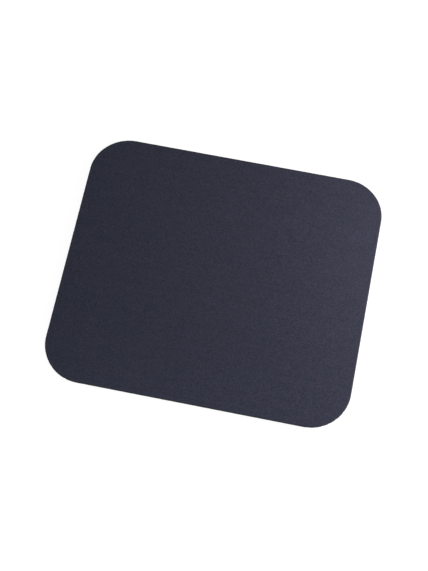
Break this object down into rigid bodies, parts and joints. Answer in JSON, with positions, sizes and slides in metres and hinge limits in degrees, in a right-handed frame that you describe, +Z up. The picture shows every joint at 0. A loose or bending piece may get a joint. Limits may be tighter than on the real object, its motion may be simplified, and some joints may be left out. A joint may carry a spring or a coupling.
{
  "type": "mouse pad",
  "caption": "Flat cloth-topped mouse pad with large rounded corners, a bonded foam rubber base and a zigzag anti-slip tread underneath.",
  "frame": {"origin": "middle of the underside, on the desk plane that the tread's ribs stand on", "axes": "+X along the long side, +Y along the short side, away from the user, +Z up, out of the cloth"},
  "size_m": [0.25, 0.22, 0.003],
  "materials": {
    "cloth": "matt dark slate knit",
    "bond_film": "cloudy hot-melt film",
    "foam": "matt black closed-cell foam"
  },
  "bodies": {
    "root": {"cloth_top": "cloth", "adhesive_film": "bond_film", "foam_base": "foam"}
  },
  "joints": []
}
